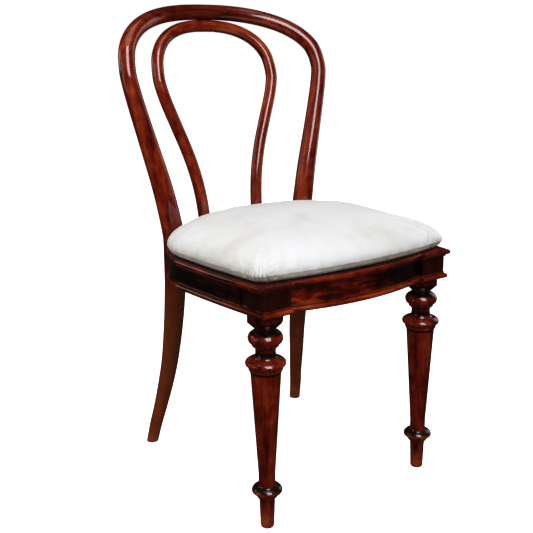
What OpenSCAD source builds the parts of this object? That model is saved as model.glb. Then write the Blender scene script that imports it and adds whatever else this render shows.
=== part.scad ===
// Balloon back chair: a bent outer hoop that runs down into the rear legs, a bent inner hoop,
// a moulded seat frame with a bowed front, two turned front legs and a loose squab cushion.
// Millimetres, +Z up, the front faces -Y, the origin lies on the floor under the middle of the chair.

/* [Seat plan] */
// Height of the seat frame's top above the floor
seat_h = 441.5; // [425:0.5:455]
// Width of the frieze at its two front corners
front_w = 408; // [400:1:414]
// Greatest width of the frieze
seat_w = 450; // [445:1:456]
// Distance of the widest place behind the middle of the corner blocks
widest_back = 206; // [200:1:210]
// Radius of the frieze at the rear corners
corner_r = 140; // [134:1:146]
// Radius of the long side curves
side_r = 2300; // [1800:50:3200]
// Radius of the curve across the back
back_r = 277; // [271:1:283]
// Rise of the front rail's bow between its ends and its middle
bow_rise = 24.5; // [16:0.5:30]
// Distance of the bow's ends behind the faces of the corner blocks
bow_setback = 9.5; // [7:0.5:12]

/* [Seat frame] */
// Height of the frame from the underside of the bead to the top of the lip
frame_h = 55; // [50:0.5:60]
// Thickness of the rails behind the frieze
rail_t = 22; // [19:0.5:25]
// Thickness of the lip board with its astragal
lip_t = 13; // [12:0.5:15]
// Width of the lip board inside the frieze face
lip_w = 40; // [36:1:46]
// Overhang of the rounded lip
lip_out = 9; // [7:0.5:11]
// Thickness of the rounded lip
nosing_t = 9.5; // [8:0.5:10.5]
// Overhang of the astragal under the lip
astragal_out = 3; // [2:0.25:4]
// Height of the quirk between lip and astragal
quirk_h = 0.8; // [0.4:0.1:1]
// Overhang of the quirk
quirk_out = 0.8; // [0.4:0.1:1.2]
// Diameter of the lower bead
bead_d = 9.4; // [8:0.2:11]
// Overhang of the bead's middle
bead_out = 1.3; // [0:0.1:2]
// Height of the fillet above the bead
fillet_h = 1.6; // [1:0.1:2.4]
// Overhang of the fillet above the bead
fillet_out = 1.3; // [0.8:0.1:2]
// Depth that the bead strip is let into the rails
bead_in = 8; // [7.5:0.5:10]
// Length of the rail tenons
tenon_l = 20; // [14:1:24]
// Thickness of the rail tenons
tenon_t = 9; // [7:0.5:10]
// Height of the rail tenons
tenon_h = 18; // [14:0.5:20]

/* [Seat panel] */
// Width of the ledge that carries the cane panel
ledge_w = 7; // [5:0.5:9]
// Thickness of the cane panel
cane_t = 1.6; // [1.2:0.1:2]
// Pitch of the cane panel's holes
cane_pitch = 24; // [22:1:28]
// Width of the cane panel's holes
cane_hole_w = 17; // [14:0.5:18]
// Thickness of the spline that holds the cane
spline_t = 1.8; // [1.2:0.1:2.2]
// Width of the spline
spline_w = 4; // [3:0.5:5]

/* [Front legs] */
// Distance between the axes of the turned legs
leg_span = 359.4; // [354:0.2:364]
// Distance of the leg axes behind the middle of the corner blocks
leg_back = 3; // [0:0.5:5]
// Width across the flats of the leg's octagonal head, and depth of the block above it
head_w = 57; // [54:0.5:59]
// Width of the corner block's front face
block_w = 54; // [51:0.5:56]
// Height of the octagonal head below the frame
head_h = 14.5; // [10:0.5:20]
// Height of the turned shoulder under the head
shoulder_h = 12.5; // [10:0.5:16]
// Diameter of the neck above the bulb
neck_d = 35; // [32:0.5:38]
// Height of the neck
neck_h = 2.5; // [1:0.5:5]
// Diameter of the bulb
bulb_d = 59.5; // [55:0.5:64]
// Height of the bulb
bulb_h = 22.5; // [19:0.5:26]
// Diameter of the collar under the bulb
collar_d = 46; // [42:0.5:49]
// Height of the collar with its bevel
collar_h = 9.5; // [7:0.5:12]
// Diameter of the waist between collar and bell
waist_d = 34.5; // [31:0.5:38]
// Height of the waist
waist_h = 6; // [4:0.5:9]
// Diameter of the bell's rim
bell_d = 69.2; // [65:0.2:74]
// Height of the bell above its rim
bell_h = 18.5; // [16:0.5:21]
// Height of the rim's rounded underside
rim_h = 8.5; // [6:0.5:10]
// Diameter of the collar over the taper
cuff_d = 58; // [56:0.5:61]
// Height of the collar over the taper
cuff_h = 9.5; // [7:0.5:12]
// Diameter at the top of the taper
taper_top_d = 51.8; // [48:0.2:54]
// Diameter at the foot of the taper
taper_end_d = 28.8; // [26:0.2:32]
// Height of the straight length under the taper
taper_foot_h = 13; // [8:1:20]
// Diameter of the ankle ring
ring_d = 52.8; // [48:0.2:57]
// Height of the ankle ring's middle above the floor
ring_z = 69.5; // [64:0.5:76]
// Height of the ankle ring
ring_h = 34; // [31:1:38]
// Diameter of the foot under the ring
ankle_d = 27.2; // [25:0.2:29.6]
// Diameter of the foot at the floor
toe_d = 23.4; // [21:0.2:24.8]

/* [Back] */
// Overall height
overall_h = 896; // [870:1:920]
// Distance between the post axes at the seat
post_span = 314; // [306:1:322]
// Greatest distance between the axes of the outer hoop's two sides
hoop_span = 453; // [430:1:470]
// Height of the outer hoop's shoulders above the seat
shoulder_rise = 327; // [310:1:345]
// Diameter of the posts at the seat
post_d = 42; // [38:0.5:45]
// Diameter of the outer hoop at the crown
hoop_d = 31.4; // [28:0.2:34]
// Diameter of the rear legs at the floor
heel_d = 23.5; // [21:0.5:27]
// Distance of the crown's axis behind the post axes' curve
rake = 94; // [70:1:110]
// Radius of the back's sideways curve
back_bow_r = 316; // [290:1:360]
// Distance between the axes of the rear feet
heel_span = 375.6; // [350:1:390]
// Distance of the rear feet behind the posts
heel_back = 66.5; // [50:0.5:80]
// Distance between the axes of the inner hoop's ends
foot_span = 128; // [116:1:140]
// Greatest distance between the axes of the inner hoop's sides
inner_span = 272; // [250:1:290]
// Height of the inner hoop's widest place above the seat
inner_rise = 313; // [300:1:330]
// Diameter of the inner hoop
inner_d = 24.2; // [22:0.2:27]

/* [Fasteners] */
// Diameter of the post bolts
bolt_d = 6.5; // [5:0.5:8]
// Diameter of the post bolts' heads
bolt_head_d = 14; // [12:0.5:16]
// Height of the post bolts' heads
bolt_head_h = 4; // [3:0.25:5]
// Diameter of the washers
washer_d = 17; // [15:0.5:20]
// Thickness of the washers
washer_t = 1.6; // [1.2:0.1:2.4]
// Width across the flats of the nuts
nut_w = 11; // [10:0.5:13]
// Thickness of the nuts
nut_t = 5; // [4:0.5:7]
// Shank diameter of the wood screws
screw_d = 4.2; // [3.5:0.1:5]
// Head diameter of the wood screws
screw_head_d = 8.4; // [7:0.2:9]
// Length of the screws in the inner hoop's ends
foot_screw_l = 32; // [28:1:34]
// Length of the screws in the crown
crown_screw_l = 34; // [30:1:36]
// Distance between the screws in the crown
crown_screw_gap = 44; // [30:1:60]
// Length of the post bolts past their nuts
bolt_end = 3; // [1:0.5:5]
// Thickness of the glue blocks behind the posts
glue_t = 14; // [12:0.5:16]
// Width of the glue blocks
glue_w = 70; // [60:1:76]

/* [Cushion] */
// Thickness of the cushion at its crown
cushion_h = 66; // [56:1:76]
// Swell of the cushion past the frieze at the sides and the rear corners
cushion_swell = 6; // [3:0.5:8]
// Swell of the cushion past the middle of the front rail
cushion_front = 2; // [0:0.5:5]
// Inset of the cushion from the frieze at the back
cushion_back = 15; // [13:1:20]
// Radius of the cushion's front edge in plan
cushion_bow_r = 990; // [850:10:1200]
// Radius of the cushion's front corners in plan
cushion_corner_r = 20; // [15:1:28]
// Radius of the cushion's rear corners in plan
cushion_rear_r = 105; // [90:5:120]
// Clearance between the cushion and the posts
cushion_clear = 2; // [1.5:0.1:3]
// Clearance between the loose cushion and the frame under it
cushion_gap = 0.3; // [0.2:0.1:0.6]

/* [Hidden] */

// Smoothness of circles, of the frame's long curves, of its sections' rounds and of the hoops' sections
$fn = 96;
long_fn = 720;
corner_fn = 240;
section_fn = 48;
hoop_sides = 16;
inner_sides = 14;
steps_per_span = 3;
// Steps in each curve of the turnings, in the outlines' long and round arcs
curve_steps = 6;
long_steps = 5;
round_steps = 12;
// One overrun serves all cuts, one angle all runs past a corner, one clearance the posts' notches,
// and one the ends of the tenons
over = 2;
corner_over = 1;
notch_gap = 0.3;
tenon_gap = 1;

// Finish colours
mahogany = [0.36, 0.10, 0.05];
dark_mahogany = [0.22, 0.06, 0.04];
linen = [0.93, 0.92, 0.89];
cane = [0.80, 0.66, 0.42];
steel = [0.45, 0.42, 0.38];

// Heights in the frame
frame_z = seat_h - frame_h;
frieze_top = seat_h - lip_t;
bead_h = bead_d + quirk_h + fillet_h;
bead_top = frame_z + bead_h;
frieze_mid = (bead_top + frieze_top) / 2;

// Corner blocks: the y axis of the plan starts at the middle of the corner blocks
front_y = -head_w / 2;
block_back = head_w / 2;
block_in = front_w / 2 - block_w;
leg_x = leg_span / 2;
front_corner = [front_w / 2, front_y];

// Front bow
bow_end_y = front_y + bow_setback;
bow_r = (block_in * block_in + bow_rise * bow_rise) / (2 * bow_rise);
bow_c = [0, bow_end_y - bow_rise + bow_r];
bow_half = asin(block_in / bow_r);

// Rear corner, side and back curves: each meets the next at a shared tangent
corner_c = [seat_w / 2 - corner_r, widest_back];
to_corner = corner_c - front_corner;
side_turn = acos((to_corner * to_corner + side_r * side_r - pow(side_r - corner_r, 2))
    / (2 * norm(to_corner) * side_r));
side_dir = atan2(to_corner[1], to_corner[0]) + side_turn;
side_c = front_corner + side_r * [cos(side_dir), sin(side_dir)];
side_a0 = atan2(front_corner[1] - side_c[1], front_corner[0] - side_c[0]);
side_a1 = atan2(corner_c[1] - side_c[1], corner_c[0] - side_c[0]);
back_c = [0, corner_c[1] - sqrt(pow(back_r - corner_r, 2) - pow(corner_c[0], 2))];
corner_a1 = atan2(corner_c[1] - back_c[1], corner_c[0]);

// Posts and the inner hoop's ends lie against the back curve, each on a flat
post_set_share = 0.67;
foot_set_share = 0.735;
post_flat_share = 0.86;
post_x = post_span / 2;
post_r = post_d / 2;
post_ring = back_r + post_set_share * post_r;
post_a = acos(post_x / post_ring);
post_y = back_c[1] + post_ring * sin(post_a);
foot_x = foot_span / 2;
inner_r = inner_d / 2;
foot_ring = back_r + foot_set_share * inner_r;
foot_a = acos(foot_x / foot_ring);
foot_y = back_c[1] + foot_ring * sin(foot_a);

// Heights and widths of the hoops
hoop_r = hoop_d / 2;
crown_z = overall_h - hoop_r;
shoulder_z = seat_h + shoulder_rise;
inner_crown_z = crown_z - hoop_r - inner_r;
inner_wide_z = seat_h + inner_rise;
hoop_x = hoop_span / 2;
inner_x = inner_span / 2;
heel_x = heel_span / 2;
heel_r = heel_d / 2;

// Lean of the back: share of the rake at each share of the height above the seat
rake_shares = [0.39, 1.57, -0.96];
function lean(z) = let (t = max(0, (z - seat_h) / (crown_z - seat_h)))
    rake * t * (rake_shares[0] + t * (rake_shares[1] + t * rake_shares[2]));
// Depth of the back's surface at a place in the front view
function back_y(x, z) = post_y + lean(z) + (post_x * post_x - x * x) / (2 * back_bow_r);
// The inner hoop leaves its ends' own depth and joins that surface at the crown
foot_shift = foot_y - back_y(foot_x, seat_h);
function inner_y(x, z) = back_y(x, z) + foot_shift * (crown_z - max(z, seat_h)) / (crown_z - seat_h);

// Rear leg below the frame: shares of the way out to the foot, of its height and of its thickness
leg_shares = [[1, 0, 0], [0.84, 0.105, 0.1], [0.62, 0.21, 0.2], [0.37, 0.355, 0.42],
    [0.17, 0.50, 0.60], [0.05, 0.70, 0.84], [0, 0.90, 1]];
leg_back_shares = [1, 0.85, 0.70, 0.50, 0.34, 0.155, 0.02];
// Outer hoop from the seat to its shoulder: shares of the height, of the widening and of the thinning
side_shares = [[0.07, 0.03, 0], [0.20, 0.14, 0.10], [0.35, 0.29, 0.28], [0.585, 0.575, 0.62],
    [0.77, 0.80, 0.84], [0.91, 0.95, 0.95], [1, 1, 1]];
// Inner hoop from the seat to its widest place: shares of the height and of the widening
inner_shares = [[0.08, 0.01], [0.22, 0.055], [0.36, 0.155], [0.51, 0.33], [0.67, 0.58],
    [0.83, 0.84], [0.93, 0.965], [1, 1]];
// Crowns are superellipses: power of the curve and the angles of its points
crown_power = 2.4;
crown_angles = [14, 27, 39, 50, 61, 71, 80, 86];

function crown_x(a) = pow(cos(a), 2 / crown_power);
function crown_up(a) = pow(sin(a), 2 / crown_power);

// Right half of each hoop as rows of x, y, z and radius, from the floor or the ends to the crown
rear_leg_rows = [for (i = [0:len(leg_shares) - 1]) let (s = leg_shares[i])
    [post_x + (heel_x - post_x) * s[0], post_y + heel_back * leg_back_shares[i], frame_z * s[1],
        heel_r + (post_r - heel_r) * s[2]]];
post_rows = [for (z = [frame_z, frieze_mid, seat_h]) [post_x, post_y, z, post_r]];
outer_side_rows = [for (s = side_shares)
    let (z = seat_h + shoulder_rise * s[0], x = post_x + (hoop_x - post_x) * s[1])
    [x, back_y(x, z), z, post_r + (hoop_r - post_r) * s[2]]];
outer_crown_rows = [for (a = crown_angles)
    let (z = shoulder_z + (crown_z - shoulder_z) * crown_up(a), x = hoop_x * crown_x(a))
    [x, back_y(x, z), z, hoop_r]];
outer_right = concat(rear_leg_rows, post_rows, outer_side_rows, outer_crown_rows);
foot_rows = [for (z = [bead_top, frieze_mid, seat_h]) [foot_x, foot_y, z, inner_r]];
inner_side_rows = [for (s = inner_shares)
    let (z = seat_h + inner_rise * s[0], x = foot_x + (inner_x - foot_x) * s[1])
    [x, inner_y(x, z), z, inner_r]];
inner_crown_rows = [for (a = crown_angles)
    let (z = inner_wide_z + (inner_crown_z - inner_wide_z) * crown_up(a), x = inner_x * crown_x(a))
    [x, inner_y(x, z), z, inner_r]];
inner_right = concat(foot_rows, inner_side_rows, inner_crown_rows);

function flip(row) = [-row[0], row[1], row[2], row[3]];
function whole(right, top_z) = let (n = len(right)) concat(
    right,
    [[0, back_y(0, top_z), top_z, right[n - 1][3]]],
    [for (i = [n - 1:-1:0]) flip(right[i])]);

// Smooth curve through rows: each span between two rows is a cubic that leans on its neighbours
function clamp_at(list, i) = list[max(0, min(len(list) - 1, i))];
function spline_at(a, b, c, d, t) = b
    + (c - a) * t / 2
    + (2 * a - 5 * b + 4 * c - d) * t * t / 2
    + (3 * b - a - 3 * c + d) * t * t * t / 2;
function smooth(rows) = concat(
    [for (i = [0:len(rows) - 2], k = [0:steps_per_span - 1])
        let (before = clamp_at(rows, i - 1), after = clamp_at(rows, i + 2))
        spline_at(before, rows[i], rows[i + 1], after, k / steps_per_span)],
    [rows[len(rows) - 1]]);

function place(row) = [row[0], row[1], row[2]];
function unit(v) = v / norm(v);
// Direction of the path at one ring: the two ends stand upright, so that they are cut level
function heading(path, i) = let (n = len(path) - 1)
    i == 0 ? [0, 0, 1] : i == n ? [0, 0, -1] : unit(place(path[i + 1]) - place(path[i - 1]));
function ring(path, i, sides) = let (
        t = heading(path, i),
        u = unit([0, 1, 0] - t[1] * t),
        v = cross(t, u),
        r = path[i][3])
    [for (k = [0:sides - 1]) let (a = 360 * k / sides) place(path[i]) + r * (cos(a) * u + sin(a) * v)];

// Tube along a path of rows, closed by flat ends
module tube(path, sides) {
    n = len(path);
    points = [for (i = [0:n - 1]) each ring(path, i, sides)];
    walls = [for (i = [0:n - 2], k = [0:sides - 1], half = [0, 1])
        let (k2 = (k + 1) % sides, a = i * sides, b = a + sides)
        half == 0 ? [a + k, b + k2, a + k2] : [a + k, b + k, b + k2]];
    ends = [[for (k = [0:sides - 1]) k], [for (k = [sides - 1:-1:0]) (n - 1) * sides + k]];
    polyhedron(points, concat(walls, ends), convexity = 8);
}

outer_path = smooth(whole(outer_right, crown_z));
inner_path = smooth(whole(inner_right, inner_crown_z));

// Origin: half way between the front of the lip and the back of the outer hoop
front_most = bow_end_y - bow_rise - lip_out;
back_most = max([for (i = [0:len(outer_path) - 1], p = ring(outer_path, i, hoop_sides)) p[1]]);
origin_y = (front_most + back_most) / 2;

module in_place() {
    translate([0, -origin_y, 0]) children();
}

module both_sides() {
    children();
    mirror([1, 0, 0]) children();
}

// Runs of a section: x is measured outwards from the frieze face and y upwards from the floor
module arc_run(centre, radius, a0, a1) {
    sides = radius > seat_w ? long_fn : corner_fn;
    translate(centre) rotate(a0)
        rotate_extrude(angle = a1 - a0, $fn = sides) translate([radius, 0]) children();
}

module line_run(start, end) {
    way = end - start;
    translate(start) rotate(atan2(way[1], way[0]))
        mirror([0, 1, 0]) rotate([90, 0, 90]) linear_extrude(norm(way)) children();
}

// Angle on the side curve at which a circle of that radius reaches a depth
function side_angle(radius, y) = asin((y - side_c[1]) / radius);

// Side of the right half, from a little before the front corner to the rear corner
module side_run() {
    arc_run(side_c, side_r, side_a0 - corner_over, side_a1) children();
}

// The same, squared to the back face of the corner block
module side_behind_block() {
    difference() {
        side_run() children();
        translate([0, block_back - seat_w, 0]) cube([seat_w, seat_w, 2 * seat_h]);
    }
}

module corner_run() {
    arc_run(corner_c, corner_r, side_a1, corner_a1) children();
}

module bow_run() {
    intersection() {
        arc_run(bow_c, bow_r, -90 - bow_half - corner_over, -90 + bow_half + corner_over) children();
        translate([-block_in, -seat_w, 0]) cube([2 * block_in, seat_w + block_back, 2 * seat_h]);
    }
}

module back_run() {
    arc_run(back_c, back_r, corner_a1, 180 - corner_a1) children();
}

// Sections of the frame
module lip_section(reach) {
    nose_r = nosing_t / 2;
    astragal_r = (lip_t - nosing_t - quirk_h) / 2;
    translate([-reach, seat_h - nosing_t]) square([reach + lip_out - nose_r, nosing_t]);
    translate([lip_out - nose_r, seat_h - nose_r]) circle(nose_r, $fn = section_fn);
    translate([-reach, frieze_top]) square([reach + quirk_out, lip_t - nosing_t]);
    translate([0, frieze_top]) square([astragal_out - astragal_r, 2 * astragal_r]);
    translate([astragal_out - astragal_r, frieze_top + astragal_r]) circle(astragal_r, $fn = section_fn);
}

module rail_section() {
    translate([-rail_t, frame_z]) square([rail_t - bead_in, frieze_top - frame_z]);
    translate([-rail_t, bead_top]) square([rail_t, frieze_top - bead_top]);
}

module bead_section() {
    bead_r = bead_d / 2;
    translate([-bead_in, frame_z]) square([bead_in, bead_h]);
    translate([bead_out, frame_z + bead_r]) circle(bead_r, $fn = section_fn);
    translate([0, frame_z]) square([bead_out, bead_d]);
    translate([-bead_in, bead_top - fillet_h]) square([bead_in + fillet_out, fillet_h]);
}

// Room for the posts and the inner hoop's ends, through lips and beads
module post_room() {
    both_sides() {
        translate([post_x, post_y, frame_z - over])
            cylinder(r = post_r + notch_gap, h = frame_h + 2 * over);
        translate([foot_x, foot_y, bead_top]) cylinder(r = inner_r + notch_gap, h = frame_h + over);
    }
}

// Flats on which posts and ends bear: what lies past them is cut from the rail or from the hoop
post_flat = post_ring - post_flat_share * post_r;
foot_flat = foot_ring - post_flat_share * inner_r;

module bearing(angle, flat, width, inward) {
    translate([back_c[0], back_c[1], frame_z - over]) rotate(angle)
        translate([inward ? flat - rail_t : flat, -width / 2, 0]) cube([rail_t, width, frame_h + 2 * over]);
}

// Width of the rail's flat: a clearance past the two lines where the round post leaves the frieze
function notch_width(reach, r) = let (across = (back_r * back_r - r * r + reach * reach) / (2 * reach))
    2 * sqrt(back_r * back_r - across * across) + 2 * notch_gap;

module bolt_axis(angle, flat) {
    translate([back_c[0], back_c[1], frieze_mid]) rotate(angle)
        translate([flat, 0, 0]) rotate([0, 90, 0]) children();
}

// Bolts: the head sits in a counterbore in the post, the nut on a flat inside the rail
bolt_seat_share = 0.82;
bolt_seat = post_ring - post_flat + bolt_seat_share * post_r;
// Face of the glue block behind the joint, and the height on it at which washer and nut lie
glue_face = back_r - rail_t - glue_t;
nut_face = glue_face - post_flat - washer_t;

module outer_hoop() {
    color(mahogany) in_place() difference() {
        tube(outer_path, hoop_sides);
        both_sides() {
            bearing(post_a, post_flat, post_d, true);
            bolt_axis(post_a, post_flat) {
                translate([0, 0, -rail_t]) cylinder(d = bolt_d, h = 2 * post_d);
                translate([0, 0, bolt_seat]) cylinder(d = bolt_head_d + 2 * notch_gap, h = post_d);
            }
            crown_screw_holes();
        }
    }
}

module inner_hoop() {
    color(mahogany) in_place() difference() {
        tube(inner_path, inner_sides);
        both_sides() {
            bearing(foot_a, foot_flat, inner_d, true);
            bolt_axis(foot_a, foot_flat) screw_hole(foot_reach, foot_screw_l);
            crown_screw_holes();
        }
    }
}

// A countersunk screw lies along z with its head's flat at a height and its point below
module screw(head_z, length) {
    cone_h = (screw_head_d - screw_d) / 2;
    translate([0, 0, head_z - cone_h]) cylinder(d1 = screw_d, d2 = screw_head_d, h = cone_h);
    translate([0, 0, head_z - length]) cylinder(d = screw_d, h = length - cone_h);
}

module screw_hole(head_z, length) {
    screw(head_z, length);
    translate([0, 0, head_z]) cylinder(d = screw_head_d, h = inner_d);
}

// How far the screw heads lie from the flats of the inner hoop's ends, just under its skin
head_sink_share = 0.9;
foot_reach = foot_ring - foot_flat + head_sink_share * inner_r;

module crown_screw_place() {
    x = crown_screw_gap / 2;
    z = inner_crown_z - head_sink_share * inner_r;
    translate([x, back_y(x, inner_crown_z), z]) rotate([180, 0, 0]) children();
}

module crown_screw_holes() {
    crown_screw_place() screw_hole(0, crown_screw_l);
}

module rail_bores() {
    both_sides() {
        bearing(post_a, post_flat, notch_width(post_ring, post_r), false);
        bearing(foot_a, foot_flat, notch_width(foot_ring, inner_r), false);
        bolt_axis(post_a, post_flat) {
            translate([0, 0, -rail_t - over]) cylinder(d = bolt_d, h = 2 * rail_t);
        }
        bolt_axis(foot_a, foot_flat) screw(foot_reach, foot_screw_l);
    }
}

// Tenon on the end of a rail, along +Y from the shoulder
module tenon(gap) {
    translate([-tenon_t / 2, -over, frieze_mid - tenon_h / 2])
        cube([tenon_t, tenon_l + over + gap, tenon_h]);
}

module front_tenons(gap) {
    both_sides() translate([block_in, bow_end_y + rail_t / 2, 0]) rotate(-90) tenon(gap);
}

module side_tenon(gap) {
    x = side_c[0] + (side_r - rail_t / 2) * cos(side_angle(side_r, block_back));
    translate([x, block_back, 0]) rotate(180) tenon(gap);
}

module front_rail() {
    color(dark_mahogany) in_place() {
        bow_run() rail_section();
        front_tenons(0);
    }
}

module side_rail() {
    in_place() {
        side_behind_block() rail_section();
        corner_run() rail_section();
        side_tenon(0);
    }
}

module side_rail_left() {
    color(dark_mahogany) mirror([1, 0, 0]) side_rail();
}

module side_rail_right() {
    color(dark_mahogany) side_rail();
}

module back_rail() {
    color(dark_mahogany) in_place() difference() {
        back_run() rail_section();
        rail_bores();
    }
}

// Pocket of the cane panel, open upwards
pocket_z = seat_h - spline_t - cane_t;
pocket_in = lip_w - ledge_w;

function arc_points(centre, radius, a0, a1, n) = [for (i = [0:n])
    let (a = a0 + (a1 - a0) * i / n) centre + radius * [cos(a), sin(a)]];
// Arc without its first point, which the arc before it ends with
function arc_on(centre, radius, a0, a1, n) = [for (i = [1:n]) arc_points(centre, radius, a0, a1, n)[i]];
// Closed outline inside the frame: straight in front, parallel to the frieze at the sides and the back
function seat_outline(inset, y) = let (
        right = concat(
            arc_points(side_c, side_r - inset, side_angle(side_r - inset, y), side_a1, long_steps),
            arc_on(corner_c, corner_r - inset, side_a1, corner_a1, round_steps),
            arc_on(back_c, back_r - inset, corner_a1, 90, round_steps)),
        n = len(right))
    concat(right, [for (i = [n - 2:-1:0]) [-right[i][0], right[i][1]]]);

module lip_cuts() {
    post_room();
    translate([0, 0, pocket_z])
        linear_extrude(lip_t) polygon(seat_outline(pocket_in, block_back - ledge_w));
}

module front_lip() {
    color(mahogany) in_place() difference() {
        bow_run() lip_section(head_w + bow_rise);
        lip_cuts();
    }
}

module side_lip() {
    in_place() difference() {
        side_behind_block() lip_section(lip_w);
        lip_cuts();
    }
}

// The lip over the corner block, moulded on its front and on its side
module block_lip() {
    end_a = side_angle(side_r, block_back);
    side_end = side_c + side_r * [cos(end_a), sin(end_a)];
    side_way = 2 * lip_out * unit(side_end - front_corner);
    in_place() difference() {
        intersection() {
            line_run([block_in, front_y], front_corner + [2 * lip_out, 0]) lip_section(head_w);
            line_run(front_corner - side_way, side_end + side_way) lip_section(head_w + lip_out);
        }
        lip_cuts();
    }
}

module block_lip_left() {
    color(mahogany) mirror([1, 0, 0]) block_lip();
}

module block_lip_right() {
    color(mahogany) block_lip();
}

module side_lip_left() {
    color(mahogany) mirror([1, 0, 0]) side_lip();
}

module side_lip_right() {
    color(mahogany) side_lip();
}

module corner_lip() {
    in_place() difference() {
        corner_run() lip_section(lip_w);
        lip_cuts();
    }
}

module corner_lip_left() {
    color(mahogany) mirror([1, 0, 0]) corner_lip();
}

module corner_lip_right() {
    color(mahogany) corner_lip();
}

module back_lip() {
    color(mahogany) in_place() difference() {
        back_run() lip_section(lip_w);
        lip_cuts();
    }
}

// Half space on one side of the mitre at the right front corner, which halves that corner's angle
mitre_a = 45 + side_a0 / 2;

module mitre_half(turn) {
    translate([front_corner[0], front_corner[1], frame_z - over]) rotate(turn)
        translate([0, -seat_w / 2, 0]) cube([seat_w, seat_w, frame_h]);
}

module side_bead() {
    in_place() difference() {
        side_run() bead_section();
        mitre_half(mitre_a + 180);
    }
}

module block_bead() {
    in_place() difference() {
        line_run([block_in, front_y], front_corner + [bead_d, 0]) bead_section();
        mitre_half(mitre_a);
    }
}

module side_bead_left() {
    color(mahogany) mirror([1, 0, 0]) side_bead();
}

module side_bead_right() {
    color(mahogany) side_bead();
}

module block_bead_left() {
    color(mahogany) mirror([1, 0, 0]) block_bead();
}

module block_bead_right() {
    color(mahogany) block_bead();
}

module front_bead() {
    color(mahogany) in_place() bow_run() bead_section();
}

module corner_bead() {
    in_place() difference() {
        corner_run() bead_section();
        post_room();
    }
}

module corner_bead_left() {
    color(mahogany) mirror([1, 0, 0]) corner_bead();
}

module corner_bead_right() {
    color(mahogany) corner_bead();
}

module back_bead() {
    color(mahogany) in_place() difference() {
        back_run() bead_section();
        post_room();
    }
}

// Heights of the turnings, from the head down and from the floor up
shoulder_top = frame_z - head_h;
neck_z = shoulder_top - shoulder_h;
bulb_top = neck_z - neck_h;
bulb_z = bulb_top - bulb_h;
collar_z = bulb_z - collar_h;
waist_z = collar_z - waist_h;
rim_z = waist_z - bell_h;
cuff_top = rim_z - rim_h;
taper_top = cuff_top - cuff_h;
ring_top = ring_z + ring_h / 2;
ring_end = ring_z - ring_h / 2;

// Curves of the turnings, from one diameter and height to the next: out_then_down leaves on a slope
// and ends upright, down_then_out leaves upright and ends level
lead_a = 30;
function turned(d, z) = [d / 2, z];
function out_then_down(d0, z0, d1, z1, n) = [for (i = [0:n])
    let (a = lead_a + (90 - lead_a) * i / n)
    turned(d0 + (d1 - d0) * (sin(a) - sin(lead_a)) / (1 - sin(lead_a)),
        z0 + (z1 - z0) * (1 - cos(a) / cos(lead_a)))];
function down_then_out(d0, z0, d1, z1, n) = [for (i = [1:n])
    let (a = 90 * i / n)
    turned(d0 + (d1 - d0) * (1 - cos(a)), z0 + (z1 - z0) * sin(a))];

// Shares that shape the turnings
bulb_top_share = 0.56;
bulb_end_share = 0.78;
collar_edge_share = 0.40;
bell_mouth_shares = [0.66, 0.58];
bell_step_share = 0.72;
bell_rim_shares = [0.925, 0.5];
cuff_edge_share = 0.30;
cuff_end_share = 0.93;
ring_mouth_shares = [0.68, 0.54];
ring_groove_share = 0.73;
ring_bevel_shares = [0.89, 0.20];
toe_round_share = 0.16;

bulb_wide_z = bulb_top - bulb_h * bulb_top_share;
bell_mouth_z = waist_z - bell_h * bell_mouth_shares[1];
bell_rim_z = rim_z - rim_h * bell_rim_shares[1];
ring_mouth_z = ring_top - (ring_top - ring_z) * ring_mouth_shares[1];
ring_bevel_z = ring_z - (ring_z - ring_end) * ring_bevel_shares[1];
toe_round = toe_d * toe_round_share;

// Half outline of the turned part of the leg, from the neck to the floor
turned_outline = concat(
    [turned(0, neck_z), turned(neck_d, neck_z)],
    out_then_down(neck_d, bulb_top, bulb_d, bulb_wide_z, curve_steps),
    down_then_out(bulb_d, bulb_wide_z, bulb_d * bulb_end_share, bulb_z, curve_steps),
    [turned(collar_d, bulb_z), turned(collar_d, bulb_z - collar_h * collar_edge_share)],
    [turned(waist_d, collar_z)],
    [turned(waist_d, waist_z)],
    down_then_out(waist_d, waist_z, bell_d * bell_mouth_shares[0], bell_mouth_z, curve_steps),
    out_then_down(bell_d * bell_step_share, bell_mouth_z, bell_d, rim_z, curve_steps),
    down_then_out(bell_d, rim_z, bell_d * bell_rim_shares[0], bell_rim_z, curve_steps),
    [turned(cuff_d, cuff_top)],
    [turned(cuff_d, cuff_top - cuff_h * cuff_edge_share)],
    [turned(cuff_d * cuff_end_share, taper_top + cuff_h * cuff_edge_share)],
    [turned(taper_top_d, taper_top), turned(taper_end_d, ring_top + taper_foot_h)],
    [turned(taper_end_d, ring_top)],
    down_then_out(taper_end_d, ring_top, ring_d * ring_mouth_shares[0], ring_mouth_z, curve_steps),
    out_then_down(ring_d * ring_groove_share, ring_mouth_z, ring_d, ring_z, curve_steps),
    down_then_out(ring_d, ring_z, ring_d * ring_bevel_shares[0], ring_bevel_z, curve_steps),
    [turned(ankle_d, ring_end)],
    [for (i = [0:curve_steps]) let (a = 90 * i / curve_steps)
        turned(toe_d - 2 * toe_round * (1 - cos(a)), toe_round * (1 - sin(a)))],
    [turned(0, 0)]);

// Half outline of the leg's head: the shoulder is turned on the octagon, and a core runs on into the block
head_outline = [turned(0, neck_z), turned(neck_d, neck_z),
    turned(neck_d + 2 * shoulder_h, shoulder_top), turned(2 * head_w, shoulder_top),
    turned(2 * head_w, frame_z), turned(taper_end_d, frame_z),
    turned(taper_end_d, bead_top), turned(0, bead_top)];

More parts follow.
